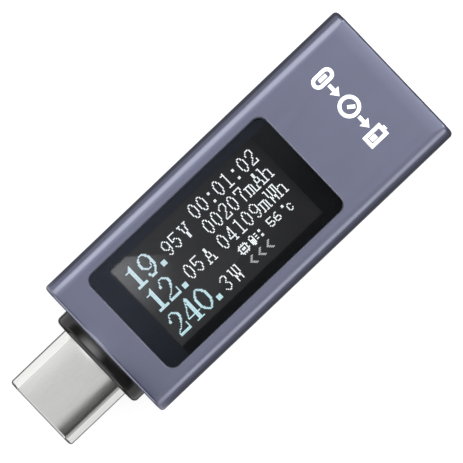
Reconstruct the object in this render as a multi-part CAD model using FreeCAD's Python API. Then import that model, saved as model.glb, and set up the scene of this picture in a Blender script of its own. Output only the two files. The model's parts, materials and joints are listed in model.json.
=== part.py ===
import FreeCAD, Part
import math
import os

# USB-C inline power meter, lying on its back with the display facing up.
# Millimetres. +X runs from the plug to the socket, +Y across, +Z up through the display.
# The origin is at the bottom, in the middle of the whole length.

# Housing
body_length = 37.7
body_width = 16.0
body_height = 9.0
long_edge_radius = 1.5
front_edge_radius = 0.35
rear_edge_radius = 0.45
crown_length = 1.6
crown_drop = 0.08
side_wall = 1.2
floor_wall = 1.0
roof_wall = 1.2
bore_radius = 0.6

# Plug, to the USB-C size
plug_width = 8.25
plug_height = 2.4
plug_wall = 0.3
plug_reach = 8.54
plug_tip_radius = 0.28
cavity_width = 6.85
cavity_height = 0.86
cavity_depth = 6.2
plug_y = -0.28  # the plug and its collar sit this far off the housing's middle

# Socket, to the USB-C size
socket_width = 8.94
socket_height = 3.26
socket_wall = 0.3
socket_length = 7.3
tongue_width = 6.69
tongue_thickness = 0.7
tongue_setback = 0.55

contacts_per_row = 12
contact_pitch = 0.5
contact_width = 0.25
contact_thickness = 0.1

# Collar of the front cap
collar_width = 10.66
collar_height = 5.0
collar_reach = 1.42
collar_radius = 2.2
collar_edge_radius = 0.45

# Window in the upper face, measured from the front of the housing
window_start = 3.2
window_length = 22.7
window_width = 11.94
window_corner = 1.0
window_bevel = 0.06
lit_start = 5.54
lit_length = 18.2
lit_width = 9.7
glass_thickness = 0.69
mask_thickness = 0.04
tape_thickness = 0.04
ledge_thickness = 0.4
glass_gap = 0.05
glass_bevel = 0.06

# Display, from the roof down
gasket_thickness = 0.2
polariser_thickness = 0.12
plate_thickness = 0.3
plate_width = 11.8
diffuser_thickness = 0.1
guide_thickness = 0.52
reflector_thickness = 0.08
tray_floor = 0.11
tray_width = 12.2
pocket_width = 10.8
lamp_length = 2.0
lamp_thickness = 0.8
lamp_pitch = 3.4
driver_length = 0.55
driver_width = 7.2
driver_height = 0.25
ribbon_width = 8.0
ribbon_thickness = 0.08

# Display in plan, measured from the front of the housing
tray_start = 3.2
tray_end = 26.3
pocket_start = 4.1
pocket_end = 25.6
front_plate_end = 24.6
rear_plate_end = 26.0
ribbon_end = 21.6

# Board
board_thickness = 1.0
board_width = 14.0
board_rail_depth = 0.25
board_rail_gap = 0.05
neck_width = 7.56
neck_length = 2.8

# Caps
cap_setback = 0.15
front_cap_thickness = 1.6
rear_cap_thickness = 1.1

# Latches of the plug
latch_inner = 3.43
latch_outer = 3.55
latch_hook = 3.14
latch_height = 0.7
latch_plate_thickness = 0.16
latch_stub_length = 0.6

# Side button
button_length = 3.6
button_height = 1.6
button_recess = 0.15
button_edge_radius = 0.15
button_travel = 0.25
button_from_rear = 7.7
flange_length = 4.8
flange_height = 2.0
flange_thickness = 0.33

# Switch behind the button
switch_length = 3.0
switch_front_y = -6.0
switch_back_y = -4.6
plunger_flange_y = -5.6
dome_slack = 0.05
dome_rim_radius = 0.64
dome_thickness = 0.06

# Running gap between pieces that pass one another, and gap between pieces that are only placed.
# A cutting tool reaches further than the piece it cuts, so that no skin is left.
running_gap = 0.08
fit_gap = 0.02
beyond = 1.0

# Places that follow from the sizes above
overall_length = plug_reach + body_length
tip_x = -overall_length / 2
front_x = tip_x + plug_reach
rear_x = front_x + body_length
middle_z = body_height / 2
roof_z = body_height - roof_wall
bore_half = body_width / 2 - side_wall
rail_half = bore_half + board_rail_depth
board_top = middle_z + board_thickness / 2
board_bottom = middle_z - board_thickness / 2
plug_rear_x = front_x + 2.2
board_front_x = front_x + 2.4
board_shoulder_x = board_front_x + neck_length
board_rear_x = rear_x - 1.4
mouth_x = rear_x - 0.15
socket_rear_x = mouth_x - socket_length
notch_x = socket_rear_x - 0.1
window_x = front_x + window_start
lit_x = front_x + lit_start

gasket_bottom = roof_z - gasket_thickness
front_plate_bottom = gasket_bottom - polariser_thickness - plate_thickness
rear_plate_bottom = front_plate_bottom - plate_thickness
rear_polariser_bottom = rear_plate_bottom - polariser_thickness
diffuser_bottom = rear_polariser_bottom - diffuser_thickness
guide_bottom = diffuser_bottom - guide_thickness
reflector_bottom = guide_bottom - reflector_thickness
tray_bottom = reflector_bottom - tray_floor
tray_x = front_x + tray_start
tray_end_x = front_x + tray_end
pocket_x = front_x + pocket_start
pocket_end_x = front_x + pocket_end
front_plate_end_x = front_x + front_plate_end
rear_plate_end_x = front_x + rear_plate_end

plug_insulator_x = tip_x + 0.15
cavity_end_x = plug_insulator_x + cavity_depth
latch_root_x = cavity_end_x + 0.25
latch_stub_x = latch_root_x + latch_stub_length
plug_contact_z = middle_z + 0.45
socket_base_end_x = socket_rear_x + 1.5
tongue_end_x = mouth_x - tongue_setback
socket_contact_z = middle_z + tongue_thickness / 2 - contact_thickness

button_x = rear_x - button_from_rear
button_z = board_top + 1.1
button_face_y = -body_width / 2 + button_recess
button_inner_y = -bore_half + fit_gap + flange_thickness
plunger_tip_y = button_inner_y + fit_gap
dome_rise = button_travel + dome_slack
dome_rim_y = plunger_flange_y + fit_gap + dome_rise


def vec(x, y, z):
    return FreeCAD.Vector(x, y, z)


def block(x0, x1, y0, y1, z0, z1):
    """A box between two corners."""
    return Part.makeBox(x1 - x0, y1 - y0, z1 - z0, vec(x0, y0, z0))


def rounded_wire(width, height, radius, place):
    """A rounded rectangle about the origin of its own plane, which place() sets in space."""
    flat_u = width / 2 - radius
    flat_v = height / 2 - radius
    arcs = []
    for quarter, (side_u, side_v) in enumerate(((1, 1), (-1, 1), (-1, -1), (1, -1))):
        points = []
        for step in range(3):
            angle = math.pi / 2 * (quarter + step / 2)
            u = side_u * flat_u + radius * math.cos(angle)
            v = side_v * flat_v + radius * math.sin(angle)
            points.append(place(u, v))
        arcs.append(points)
    edges = []
    for points, following in zip(arcs, arcs[1:] + arcs[:1]):
        edges.append(Part.Arc(*points).toShape())
        if points[-1].distanceToPoint(following[0]) > 1e-6:
            edges.append(Part.LineSegment(points[-1], following[0]).toShape())
    return Part.Wire(edges)


def bar(x0, x1, width, height, radius, z=middle_z):
    """A bar along X with a rounded rectangle as its section."""
    wire = rounded_wire(width, height, radius, lambda u, v: vec(x0, u, z + v))
    return Part.Face(wire).extrude(vec(x1 - x0, 0, 0))


def slab(x0, x1, width, z0, z1, radius):
    """A plate lying flat, centred across the housing, with rounded corners."""
    middle = (x0 + x1) / 2
    wire = rounded_wire(x1 - x0, width, radius, lambda u, v: vec(middle + u, v, z0))
    return Part.Face(wire).extrude(vec(0, 0, z1 - z0))


def pin_y(y0, y1, length, height, x, z):
    """A stadium-shaped pin along Y, as for the button and its hole."""
    wire = rounded_wire(length, height, height / 2, lambda u, v: vec(x + u, y0, z + v))
    return Part.Face(wire).extrude(vec(0, y1 - y0, 0))


def profile(points, sweep):
    """A closed outline, extruded along the vector sweep."""
    wire = Part.makePolygon(points + points[:1])
    return Part.Face(wire).extrude(sweep)


def strip(path, thickness, width, y):
    """A flat strip along a path of (x, z) points that mark its underside."""
    under = [vec(x, y - width / 2, z) for x, z in path]
    over = [vec(x, y - width / 2, z + thickness) for x, z in reversed(path)]
    return profile(under + over, vec(0, width, 0))


def edges_on(shape, axis, value, inside=None):
    """The edges that lie in the plane axis = value, and within the box inside if it is given."""
    found = []
    for edge in shape.Edges:
        box = edge.BoundBox
        low, high = getattr(box, axis + "Min"), getattr(box, axis + "Max")
        if max(abs(low - value), abs(high - value)) > 1e-4:
            continue
        if inside is None or inside.isInside(box):
            found.append(edge)
    return found


def mirror_y(shape):
    return shape.mirror(vec(0, 0, 0), vec(0, 1, 0))


def mirror_board(shape):
    """The same shape on the other side of the board's middle plane."""
    return shape.mirror(vec(0, 0, middle_z), vec(0, 0, 1))


def contact_rows():
    """The place of each contact across a row."""
    return [(i - (contacts_per_row - 1) / 2) * contact_pitch for i in range(contacts_per_row)]


# Housing ------------------------------------------------------------------------------------


def housing_sleeve():
    """Aluminium tube with board rails, a stepped window and the button's hole."""
    tube = bar(front_x, rear_x, body_width, body_height, long_edge_radius)
    tube = tube.makeFillet(front_edge_radius, edges_on(tube, "X", front_x))
    tube = tube.makeFillet(rear_edge_radius, edges_on(tube, "X", rear_x))
    over_crown = crown_waste()
    tube = tube.cut([over_crown, mirror_board(over_crown)])
    bore_height = body_height - floor_wall - roof_wall
    bore_z = floor_wall + bore_height / 2
    bore = bar(
        front_x - beyond, rear_x + beyond, 2 * bore_half, bore_height, bore_radius, z=bore_z
    )
    rails = rail_key(front_x - beyond, rear_x + beyond, 0)
    tube = tube.cut(bore).cut(rails)
    tube = tube.cut(window_pocket()).cut(window_opening()).cut(button_hole())
    rim = FreeCAD.BoundBox(
        window_x, -window_width / 2, body_height,
        window_x + window_length, window_width / 2, body_height,
    )
    rim.enlarge(0.1)
    return tube.makeChamfer(window_bevel, edges_on(tube, "Z", body_height, rim))


def crown_waste():
    """What lies above the shallow arc in which the upper face falls away at the socket end."""
    radius = (crown_length ** 2 + crown_drop ** 2) / (2 * crown_drop)
    start_x = rear_x - crown_length
    side_y = body_width / 2 + beyond
    cylinder = Part.makeCylinder(
        radius, 2 * side_y, vec(start_x, -side_y, body_height - radius), vec(0, 1, 0)
    )
    above = block(
        start_x, rear_x + beyond, -side_y, side_y, body_height - beyond / 2, body_height + beyond
    )
    return above.cut(cylinder)


def rail_key(x0, x1, gap):
    """A bar across the bore that fills both board rails, less a gap all round."""
    half = rail_half - gap
    return block(
        x0, x1, -half, half, board_bottom - board_rail_gap + gap, board_top + board_rail_gap - gap
    )


def window_pocket():
    """The recess that the glass sits in, down to the ledge."""
    bottom = roof_z + ledge_thickness
    return slab(
        window_x, window_x + window_length, window_width, bottom, body_height + beyond, window_corner
    )


def window_opening():
    """The hole through the ledge, a little larger than the lit area."""
    margin = 0.3
    return slab(
        lit_x - margin, lit_x + lit_length + margin, lit_width + 2 * margin,
        roof_z - beyond, body_height, 0.4,
    )


def button_hole():
    return pin_y(
        -body_width / 2 - beyond, -bore_half + beyond,
        button_length + 2 * running_gap, button_height + 2 * running_gap, button_x, button_z,
    )


def front_cap():
    """Black moulding in the plug end, with the collar around the plug and two side skirts."""
    cap_width = 2 * (bore_half - fit_gap)
    low = floor_wall + fit_gap
    high = roof_z - fit_gap
    start_x = front_x + cap_setback
    end_x = start_x + front_cap_thickness
    plate = bar(start_x, end_x, cap_width, high - low, bore_radius, z=(low + high) / 2)
    collar = bar(front_x - collar_reach, front_x + 0.4, collar_width, collar_height, collar_radius)
    collar = collar.makeFillet(collar_edge_radius, edges_on(collar, "X", front_x - collar_reach))
    key = rail_key(start_x, end_x, fit_gap)
    skirt = block(
        end_x - 0.25, board_shoulder_x - fit_gap, 4.6, bore_half - fit_gap, low + 0.8, middle_z + 1.3
    )
    hole = bar(
        front_x - collar_reach - beyond, end_x + beyond,
        plug_width + 2 * fit_gap, plug_height + 2 * fit_gap, plug_height / 2 + fit_gap,
    )
    collar.translate(vec(0, plug_y, 0))
    hole.translate(vec(0, plug_y, 0))
    return plate.fuse([collar, key, skirt, mirror_y(skirt)]).cut(hole).removeSplitter()


def rear_cap():
    """Black moulding in the socket end, with two skirts and a flared opening for the socket."""
    cap_width = 2 * (bore_half - fit_gap)
    low = floor_wall + fit_gap
    high = roof_z - fit_gap
    start_x = mouth_x - rear_cap_thickness
    plate = bar(start_x, mouth_x, cap_width, high - low, bore_radius, z=(low + high) / 2)
    key = rail_key(start_x, mouth_x, fit_gap)
    skirt_x = rear_x - 3.4
    skirt_half = 5.0
    skirt_thickness = 0.9
    skirt_low = block(skirt_x, start_x + 0.25, -skirt_half, skirt_half, low, low + skirt_thickness)
    skirt_high = block(skirt_x, start_x + 0.25, -skirt_half, skirt_half, high - skirt_thickness, high)
    hole = bar(
        start_x - beyond, rear_x + beyond, socket_width + 2 * fit_gap, socket_height + 2 * fit_gap,
        socket_height / 2 + fit_gap,
    )
    return plate.fuse([key, skirt_low, skirt_high]).cut(hole).removeSplitter()


# Window and display, from the glass down ------------------------------------------------------


def display_window():
    """Cover glass, set in the pocket just below the upper face."""
    bottom = roof_z + ledge_thickness + tape_thickness + mask_thickness
    top = bottom + glass_thickness
    glass = slab(
        window_x + glass_gap, window_x + window_length - glass_gap, window_width - 2 * glass_gap,
        bottom, top, window_corner - glass_gap,
    )
    return glass.makeChamfer(glass_bevel, edges_on(glass, "Z", top))


def window_mask():
    """Black border printed on the back of the glass, open over the lit area."""
    inset = 0.07
    bottom = roof_z + ledge_thickness + tape_thickness
    border = slab(
        window_x + inset, window_x + window_length - inset, window_width - 2 * inset,
        bottom, bottom + mask_thickness, window_corner - inset,
    )
    opening = block(
        lit_x, lit_x + lit_length, -lit_width / 2, lit_width / 2, bottom - beyond, bottom + beyond
    )
    return border.cut(opening)


def window_tape():
    """Thin double-sided tape that holds the glass on the ledge."""
    inset = 0.1
    margin = 0.35
    bottom = roof_z + ledge_thickness
    border = slab(
        window_x + inset, window_x + window_length - inset, window_width - 2 * inset,
        bottom, bottom + tape_thickness, window_corner - inset,
    )
    opening = slab(
        lit_x - margin, lit_x + lit_length + margin, lit_width + 2 * margin,
        bottom - beyond, bottom + beyond, 0.4,
    )
    return border.cut(opening)


def glass_plate(start_x, end_x, bottom):
    """One of the display's two glass plates."""
    return block(start_x, end_x, -plate_width / 2, plate_width / 2, bottom, bottom + plate_thickness)


def film(bottom, top):
    """One optical film or plate that lies in the tray's pocket."""
    half = pocket_width / 2 - 0.05
    return block(pocket_x + 0.05, front_plate_end_x, -half, half, bottom, top)


def display_gasket():
    """Foam frame between the display and the roof, cut off flush with the front plate."""
    margin = 0.35
    outer = slab(front_x + 3.9, front_x + 25.3, 11.3, gasket_bottom, roof_z, 0.6)
    inner = slab(
        lit_x - margin, lit_x + lit_length + margin, lit_width + 2 * margin,
        gasket_bottom - beyond, roof_z + beyond, 0.4,
    )
    kept = block(front_x, front_plate_end_x, -body_width / 2, body_width / 2, 0, body_height)
    return outer.cut(inner).common(kept)


def front_polariser():
    bottom = gasket_bottom - polariser_thickness
    return slab(front_x + 4.0, front_plate_end_x - 0.2, 11.0, bottom, gasket_bottom, 0.2)


def lcd_front_glass():
    return glass_plate(tray_x + 0.2, front_plate_end_x, front_plate_bottom)


def lcd_rear_glass():
    """The longer of the two plates: its end carries the driver and the ribbon."""
    return glass_plate(tray_x + 0.2, rear_plate_end_x, rear_plate_bottom)


def display_driver():
    """Bare driver chip on the ledge of the rear glass."""
    start_x = front_plate_end_x + 0.2
    return block(
        start_x, start_x + driver_length, -driver_width / 2, driver_width / 2,
        front_plate_bottom, front_plate_bottom + driver_height,
    )


def rear_polariser():
    return film(rear_polariser_bottom, rear_plate_bottom)


def diffuser_film():
    return film(diffuser_bottom, rear_polariser_bottom)


def light_guide():
    return film(guide_bottom, diffuser_bottom)


def reflector_film():
    return film(reflector_bottom, guide_bottom)


def backlight_tray():
    """White frame that holds the films, the light guide and the lamps."""
    tray = slab(tray_x, tray_end_x, tray_width, tray_bottom, rear_plate_bottom, 0.3)
    pocket = block(
        pocket_x, pocket_end_x, -pocket_width / 2, pocket_width / 2, reflector_bottom, body_height
    )
    return tray.cut(pocket)


def backlight_lamps():
    """Three edge lamps that shine into the end of the light guide."""
    start_x = front_plate_end_x + 0.1
    lamps = []
    for place in (-1, 0, 1):
        y = place * lamp_pitch
        lamps.append(block(
            start_x, start_x + lamp_thickness, y - lamp_length / 2, y + lamp_length / 2,
            reflector_bottom, diffuser_bottom,
        ))
    return Part.makeCompound(lamps)


def display_ribbon():
    """Flexible ribbon from the rear glass, round the end of the tray, down onto the board."""
    top = front_plate_bottom
    bend_x = tray_end_x + 0.05
    outer_radius = (top + ribbon_thickness - board_top) / 2
    inner_radius = outer_radius - ribbon_thickness
    bend_z = board_top + outer_radius

    def half_ring(radius):
        return Part.Arc(
            vec(bend_x, 0, bend_z + radius),
            vec(bend_x + radius, 0, bend_z),
            vec(bend_x, 0, bend_z - radius),
        ).toShape()

    def line(x0, z0, x1, z1):
        return Part.LineSegment(vec(x0, 0, z0), vec(x1, 0, z1)).toShape()

    glass_x = rear_plate_end_x - 0.5
    board_x = front_x + ribbon_end
    outline = [
        line(glass_x, top + ribbon_thickness, bend_x, top + ribbon_thickness),
        half_ring(outer_radius),
        line(bend_x, board_top, board_x, board_top),
        line(board_x, board_top, board_x, board_top + ribbon_thickness),
        line(board_x, board_top + ribbon_thickness, bend_x, board_top + ribbon_thickness),
        half_ring(inner_radius),
        line(bend_x, top, glass_x, top),
        line(glass_x, top, glass_x, top + ribbon_thickness),
    ]
    ribbon = Part.Face(Part.Wire(Part.__sortEdges__(outline))).extrude(vec(0, ribbon_width, 0))
    ribbon.translate(vec(0, -ribbon_width / 2, 0))
    return ribbon


def display_pad():
    """Foam pad that presses the display up against its gasket."""
    return slab(front_x + 5.4, front_x + 21.0, 9.0, board_top, tray_bottom, 0.5)


# Board and its parts ---------------------------------------------------------------------------


def main_board():
    """Circuit board with a neck into the plug and a notch around the socket."""
    half = board_width / 2
    neck_half = neck_width / 2
    notch_half = socket_width / 2 + running_gap
    outline = [
        (board_shoulder_x, half),
        (board_rear_x, half),
        (board_rear_x, notch_half),
        (notch_x, notch_half),
    ]
    outline += [(x, -y) for x, y in reversed(outline)]
    corners = [vec(x, y, board_bottom) for x, y in outline]
    neck = block(
        board_front_x, board_shoulder_x + 1, plug_y - neck_half, plug_y + neck_half,
        board_bottom, board_top,
    )
    return profile(corners, vec(0, 0, board_thickness)).fuse(neck).removeSplitter()


def under_board(along, across, length, width, height, edge=0.0):
    """A part soldered under the board, placed from the front of the housing."""
    x = front_x + along
    chip = block(
        x - length / 2, x + length / 2, across - width / 2, across + width / 2,
        board_bottom - height, board_bottom,
    )
    if edge:
        chip = chip.makeChamfer(edge, edges_on(chip, "Z", board_bottom - height))
    return chip


def microcontroller():
    return under_board(along=19.0, across=0.0, length=5.0, width=5.0, height=0.9, edge=0.1)


def current_sense_chip():
    return under_board(along=13.6, across=1.0, length=3.0, width=3.0, height=0.9, edge=0.1)


def shunt_resistor():
    return under_board(along=13.6, across=4.6, length=6.3, width=3.1, height=0.6, edge=0.1)


def voltage_regulator():
    return under_board(along=25.6, across=3.9, length=2.9, width=1.6, height=1.1, edge=0.15)


def power_inductor():
    return under_board(along=25.6, across=-1.9, length=4.0, width=4.0, height=1.8, edge=0.3)


def crystal():
    return under_board(along=19.0, across=4.6, length=3.2, width=1.5, height=0.8, edge=0.1)


def surge_diodes():
    """Two surge diodes, side by side behind the plug."""
    diodes = [
        under_board(along=8.0, across=across, length=2.6, width=1.6, height=1.0, edge=0.1)
        for across in (2.2, -2.2)
    ]
    return Part.makeCompound(diodes)


def capacitors():
    """Ceramic capacitors, in rows beside the chips that they serve."""
    places = [(7.4 + 2.2 * i, -5.2) for i in range(5)]
    places += [(19.6 + 2.2 * i, -5.2) for i in range(4)]
    places += [(22.8, across) for across in (1.4, 3.0, 4.6)]
    bodies = [under_board(x, y, length=1.6, width=0.8, height=0.8, edge=0.08) for x, y in places]
    return Part.makeCompound(bodies)


def resistors():
    """Chip resistors, in two short rows."""
    places = [(8.4 + 1.6 * i, -3.4) for i in range(5)]
    places += [(10.6, -1.6 + 1.1 * i) for i in range(3)]
    places += [(15.9 + 1.6 * i, -3.4) for i in range(3)]
    bodies = [under_board(x, y, length=1.0, width=0.5, height=0.35, edge=0.05) for x, y in places]
    return Part.makeCompound(bodies)


# Plug ------------------------------------------------------------------------------------------


def plug_shell():
    """Drawn metal shell with two ears that grip the board's neck."""
    radius = plug_height / 2
    shell = bar(tip_x, plug_rear_x, plug_width, plug_height, radius)
    shell = shell.makeFillet(plug_tip_radius, edges_on(shell, "X", tip_x))
    inner_width = plug_width - 2 * plug_wall
    inner_height = plug_height - 2 * plug_wall
    inside = bar(tip_x - beyond, plug_rear_x + beyond, inner_width, inner_height, inner_height / 2)
    shell = shell.cut(inside)
    ear = block(
        plug_rear_x - 0.5, board_shoulder_x - 0.2,
        plug_width / 2 - plug_wall, plug_width / 2 - 0.05, middle_z - 0.4, middle_z + 0.4,
    )
    return shell.fuse([ear, mirror_y(ear)]).removeSplitter()


def plug_contacts_upper():
    """Sprung contacts: a bump near the tip, a straight beam, and a tail on the board."""
    path = [
        (tip_x + 2.1, plug_contact_z - 0.04),
        (tip_x + 2.6, plug_contact_z - 0.18),
        (tip_x + 3.3, plug_contact_z),
        (board_front_x - 0.6, plug_contact_z),
        (board_front_x - 0.2, board_top),
        (board_front_x + 1.5, board_top),
    ]
    contacts = [strip(path, contact_thickness, contact_width, y) for y in contact_rows()]
    return Part.makeCompound(contacts)


def plug_contacts_lower():
    return mirror_board(plug_contacts_upper())


def latch_arm():
    """Left latch: a thin arm with a hook near the plug's mouth."""
    outline = [
        (latch_root_x, latch_inner),
        (tip_x + 2.9, latch_inner),
        (tip_x + 2.5, latch_hook),
        (tip_x + 2.2, latch_hook),
        (tip_x + 1.7, latch_inner),
        (tip_x + 1.7, latch_outer),
        (latch_root_x, latch_outer),
    ]
    points = [vec(x, y, middle_z - latch_height / 2) for x, y in outline]
    return profile(points, vec(0, 0, latch_height))


def latch_left():
    return latch_arm()


def latch_right():
    return mirror_y(latch_arm())


def latch_plate():
    """Steel plate between the two rows of contacts, with a stub at each side for its latch."""
    low = middle_z - latch_plate_thickness / 2
    high = middle_z + latch_plate_thickness / 2
    half = latch_height / 2
    plate = block(latch_root_x, board_front_x - 0.1, -latch_inner, latch_inner, low, high)
    stub = block(
        latch_root_x, latch_stub_x, latch_inner, latch_outer, middle_z - half, middle_z + half
    )
    bridge = block(latch_root_x, latch_stub_x, latch_inner - 0.1, latch_inner + 0.02, low, high)
    sides = [stub, mirror_y(stub), bridge, mirror_y(bridge)]
    return plate.fuse(sides).removeSplitter()


def ground_spring():
    """Upper ground spring: a plate under the shell with four fingers into the mouth."""
    top = middle_z + 0.86
    plate = block(tip_x + 0.5, tip_x + 1.6, -2.6, 2.6, top - 0.1, top)
    fingers = [
        block(tip_x + 1.0, tip_x + 1.2, y - 0.25, y + 0.25, middle_z + 0.38, top - 0.05)
        for y in (-2.1, -0.7, 0.7, 2.1)
    ]
    return plate.fuse(fingers).removeSplitter()


def ground_springs():
    return Part.makeCompound([ground_spring(), mirror_board(ground_spring())])


def plug_insulator():
    """Black moulding inside the shell, open at the mouth and slotted for contacts and latches."""
    width = plug_width - 2 * plug_wall - 2 * fit_gap
    height = plug_height - 2 * plug_wall - 2 * fit_gap
    core = bar(plug_insulator_x, front_x + 1.8, width, height, height / 2)
    cavity = bar(tip_x - beyond, cavity_end_x, cavity_width, cavity_height, 0.2)
    slots = []
    for y in contact_rows():
        groove = block(
            tip_x + 1.9, cavity_end_x, y - 0.165, y + 0.165, middle_z + 0.3, middle_z + 0.75
        )
        slots += [groove, mirror_board(groove)]
    side = block(
        tip_x + 1.3, latch_stub_x + 0.2, 3.3, plug_width / 2 + beyond, middle_z - 0.42, middle_z + 0.42
    )
    metal = [plug_contacts_upper(), plug_contacts_lower(), latch_plate(), ground_springs()]
    solids = [solid for piece in metal for solid in piece.Solids]
    return core.cut([cavity, side, mirror_y(side)] + slots + solids).removeSplitter()


# Socket ----------------------------------------------------------------------------------------


def socket_shell():
    """Seamless metal shell with four tabs soldered on the board beside the notch."""
    radius = socket_height / 2
    shell = bar(socket_rear_x, mouth_x, socket_width, socket_height, radius)
    inner_width = socket_width - 2 * socket_wall
    inner_height = socket_height - 2 * socket_wall
    inside = bar(socket_rear_x - beyond, mouth_x + beyond, inner_width, inner_height, inner_height / 2)
    shell = shell.cut(inside)
    tabs = []
    for back in (1.9, 4.6):
        tab = block(mouth_x - back - 1.0, mouth_x - back, 4.2, 5.6, board_top, board_top + 0.25)
        tabs += [tab, mirror_y(tab)]
    return shell.fuse(tabs).removeSplitter()


def socket_contacts_upper():
    """Flat contacts on the tongue, whose tails step up onto the board."""
    path = [
        (notch_x - 1.2, board_top),
        (socket_rear_x + 0.3, board_top),
        (socket_rear_x + 0.7, socket_contact_z),
        (tongue_end_x - 0.4, socket_contact_z),
    ]
    contacts = [strip(path, contact_thickness, contact_width, y) for y in contact_rows()]
    return Part.makeCompound(contacts)


def socket_contacts_lower():
    return mirror_board(socket_contacts_upper())


def latch_notches():
    """The notches in the tongue's sides that a plug's latches drop into."""
    notch = block(
        tongue_end_x - 2.6, tongue_end_x - 1.7, tongue_width / 2 - 0.3, tongue_width,
        middle_z - beyond, middle_z + beyond,
    )
    return [notch, mirror_y(notch)]


def socket_mid_plate():
    """Steel plate between the two rows of contacts, seen at the tongue's edges."""
    plate = block(
        socket_rear_x + 0.3, tongue_end_x - 0.25, -tongue_width / 2, tongue_width / 2,
        middle_z - 0.075, middle_z + 0.075,
    )
    return plate.cut(latch_notches())


def socket_tongue():
    """Black moulding: a base that fills the back of the shell, and the tongue."""
    width = socket_width - 2 * socket_wall - 2 * fit_gap
    height = socket_height - 2 * socket_wall - 2 * fit_gap
    base = bar(socket_rear_x + 0.05, socket_base_end_x, width, height, height / 2)
    step = bar(socket_rear_x + 1, socket_base_end_x + 0.9, tongue_width + 0.3, 1.1, 0.15)
    blade = slab(
        socket_rear_x + 1, tongue_end_x, tongue_width,
        middle_z - tongue_thickness / 2, middle_z + tongue_thickness / 2, 0.35,
    )
    blade = blade.cut(latch_notches())
    metal = [socket_contacts_upper(), socket_contacts_lower(), socket_mid_plate()]
    solids = [solid for piece in metal for solid in piece.Solids]
    relief = []
    for y in contact_rows():
        over = block(
            socket_base_end_x, socket_base_end_x + 1, y - contact_width / 2, y + contact_width / 2,
            middle_z + tongue_thickness / 2, middle_z + 1,
        )
        relief += [over, mirror_board(over)]
    return base.fuse([step, blade]).cut(solids + relief).removeSplitter()


# Button and switch -----------------------------------------------------------------------------


def side_button():
    """Black button with a flange that stops it against the inside of the wall."""
    cap = pin_y(button_face_y, -bore_half + 0.1, button_length, button_height, button_x, button_z)
    cap = cap.makeFillet(button_edge_radius, edges_on(cap, "Y", button_face_y))
    flange = pin_y(
        -bore_half + fit_gap, button_inner_y, flange_length, flange_height, button_x, button_z
    )
    return cap.fuse(flange).removeSplitter()


def switch_plunger():
    """White plunger with a flange that keeps it in the switch."""
    pin = block(
        button_x - 0.7, button_x + 0.7, plunger_tip_y, plunger_flange_y,
        button_z - 0.4, button_z + 0.4,
    )
    flange = block(
        button_x - 0.95, button_x + 0.95, plunger_flange_y - 0.2, plunger_flange_y,
        button_z - 0.6, button_z + 0.6,
    )
    return pin.fuse(flange).removeSplitter()


def switch_dome():
    """Thin metal dome that snaps and springs back: a shallow cap of a sphere."""
    radius = (dome_rim_radius ** 2 + dome_rise ** 2) / (2 * dome_rise)
    centre = vec(button_x, dome_rim_y - dome_rise + radius, button_z)
    outer = Part.makeSphere(radius, centre)
    inner = Part.makeSphere(radius - dome_thickness, centre)
    front = block(
        button_x - beyond, button_x + beyond, plunger_flange_y, dome_rim_y,
        button_z - beyond, button_z + beyond,
    )
    return outer.cut(inner).common(front)


def switch_body():
    """Switch housing on the board, hollow for the plunger and the dome."""
    case = block(
        button_x - switch_length / 2, button_x + switch_length / 2,
        switch_front_y, switch_back_y, board_top, button_z + 0.85,
    )
    chamber = block(
        button_x - 1.0, button_x + 1.0, switch_front_y + 0.19, dome_rim_y,
        button_z - 0.9, button_z + 0.68,
    )
    hole = block(
        button_x - 0.75, button_x + 0.75, switch_front_y - beyond, switch_front_y + 0.5,
        button_z - 0.45, button_z + 0.45,
    )
    return case.cut([chamber, hole]).cut(switch_terminals().Solids)


def switch_terminals():
    """Solder terminals along the two sides of the switch."""
    terminals = []
    for side in (-1, 1):
        for y in (switch_front_y + 0.3, switch_front_y + 0.9):
            x = button_x + side * switch_length / 2
            terminals.append(block(x - 0.25, x + 0.25, y, y + 0.3, board_top, board_top + 0.15))
    return Part.makeCompound(terminals)


on_plug = [
    plug_shell, plug_insulator, plug_contacts_upper, plug_contacts_lower,
    latch_plate, latch_left, latch_right, ground_springs,
]

makers = on_plug + [
    housing_sleeve, front_cap, rear_cap,
    display_window, window_mask, window_tape, display_gasket,
    front_polariser, lcd_front_glass, lcd_rear_glass, display_driver, rear_polariser,
    diffuser_film, light_guide, reflector_film, backlight_tray, backlight_lamps,
    display_ribbon, display_pad,
    main_board, microcontroller, current_sense_chip, shunt_resistor, voltage_regulator,
    power_inductor, crystal, surge_diodes, capacitors, resistors,
    socket_shell, socket_tongue, socket_mid_plate, socket_contacts_upper, socket_contacts_lower,
    side_button, switch_body, switch_plunger, switch_dome, switch_terminals,
]


def placed(maker):
    """The piece in its place: what belongs to the plug is drawn on the middle and then moved."""
    shape = maker()
    if maker in on_plug:
        shape.translate(vec(0, plug_y, 0))
    return shape


os.makedirs("parts", exist_ok=True)
for maker in makers:
    shape = placed(maker)
    shape.exportStep("parts/" + maker.__name__ + ".step")
    solids = len(shape.Solids)
    print(f"{maker.__name__:24s} {solids:3d} solids {shape.Volume:9.3f} mm3 valid {shape.isValid()}")
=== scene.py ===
"""Looks of the inline USB-C power meter: its materials, the lit dots of its display,
the marks printed on its face, and the light and camera around it.
Metres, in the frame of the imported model: +X from plug to socket, +Z up through the display."""

import json
import math

import bmesh
import bpy
from mathutils import Matrix, Vector


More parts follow.
